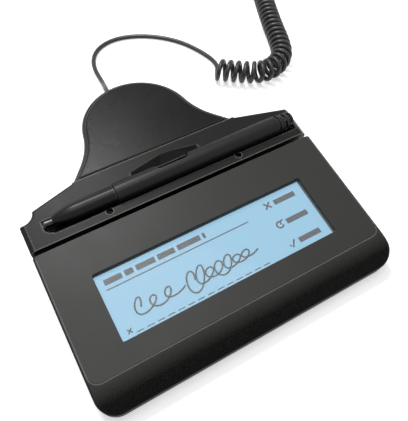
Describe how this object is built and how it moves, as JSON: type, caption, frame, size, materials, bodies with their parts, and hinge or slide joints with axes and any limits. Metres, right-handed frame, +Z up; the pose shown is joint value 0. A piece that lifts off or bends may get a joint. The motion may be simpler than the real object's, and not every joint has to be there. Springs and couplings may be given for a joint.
{
  "type": "signature pad",
  "caption": "Desk pad for signing on a small screen with a pen. The pen rests in a guard behind the pad, and a partly curly data cord leaves the guard's rear wall.",
  "frame": {"origin": "middle of the pad and guard's footprint on the table, cord left out", "axes": "+Z up from the table, +Y from the user towards the rear, +X to the user's right"},
  "size_m": [0.2834, 0.3149, 0.0346],
  "materials": {
    "housing": "fine matte texture",
    "cover": "fine matte texture",
    "overlay": "matte film",
    "window": "clear, anti-glare",
    "bezel_steel": "blackened",
    "display": "pale blue reflective liquid crystal",
    "backlight": "white",
    "ribbon": "amber film",
    "board": "solder mask",
    "steel": "zinc plated",
    "link_steel": "zinc plated",
    "chip": "moulded",
    "components": "ceramic",
    "connector": "natural nylon",
    "feet_rubber": "soft",
    "gland_rubber": "soft",
    "cord": "smooth jacket",
    "tie": "soft band",
    "overmould": "satin",
    "plug_steel": "nickel plated",
    "plug_plastic": "moulded",
    "nib": "hard wearing",
    "pen_grip": "satin",
    "pen_barrel": "satin",
    "pen_boot": "soft",
    "ferrite": "ceramic",
    "copper": "enamelled wire"
  },
  "bodies": {
    "pad": {"top_housing": "housing", "bottom_housing": "housing", "pen_tray": "housing", "guard_base": "housing", "hump_cover": "cover", "surface_overlay": "overlay", "window_glass": "window", "display_bezel": "bezel_steel", "display_panel": "display", "backlight_panel": "backlight", "display_ribbon": "ribbon", "sensor_ribbon": "ribbon", "sensor_board": "board", "main_board": "board", "sensor_screws": "steel", "board_screws": "steel", "housing_screws": "steel", "link_screws": "steel", "base_screws": "steel", "clamp_screws": "steel", "link_plate": "link_steel", "controller_chip": "chip", "board_components": "components", "ribbon_sockets": "connector", "cord_header": "connector", "rubber_feet": "feet_rubber", "cable_gland": "gland_rubber", "cable_clamp": "connector", "inner_cord": "cord", "cord_lead": "cord", "cord_curl": "cord", "cord_run": "cord", "cord_coil": "cord", "cord_end": "cord", "cord_tie": "tie", "plug_overmould": "overmould", "plug_shell": "plug_steel", "plug_insert": "plug_plastic"},
    "pen": {"pen_grip": "pen_grip", "pen_barrel": "pen_barrel", "pen_boot": "pen_boot", "pen_ferrite": "ferrite", "pen_coil": "copper", "nib_sensor": "connector", "pen_board": "board"},
    "nib": {"pen_nib": "nib"}
  },
  "joints": [
    {"name": "pen_lift", "type": "slide", "parent": "pad", "child": "pen", "axis": [0, -0.1564, 0.9877], "range_m": [0, 0.045]},
    {"name": "nib_press", "type": "slide", "parent": "pen", "child": "nib", "axis": [1, 0, 0], "range_m": [0, 0.0006], "stiffness_N_per_m": 1500, "springref_m": -0.0001}
  ]
}
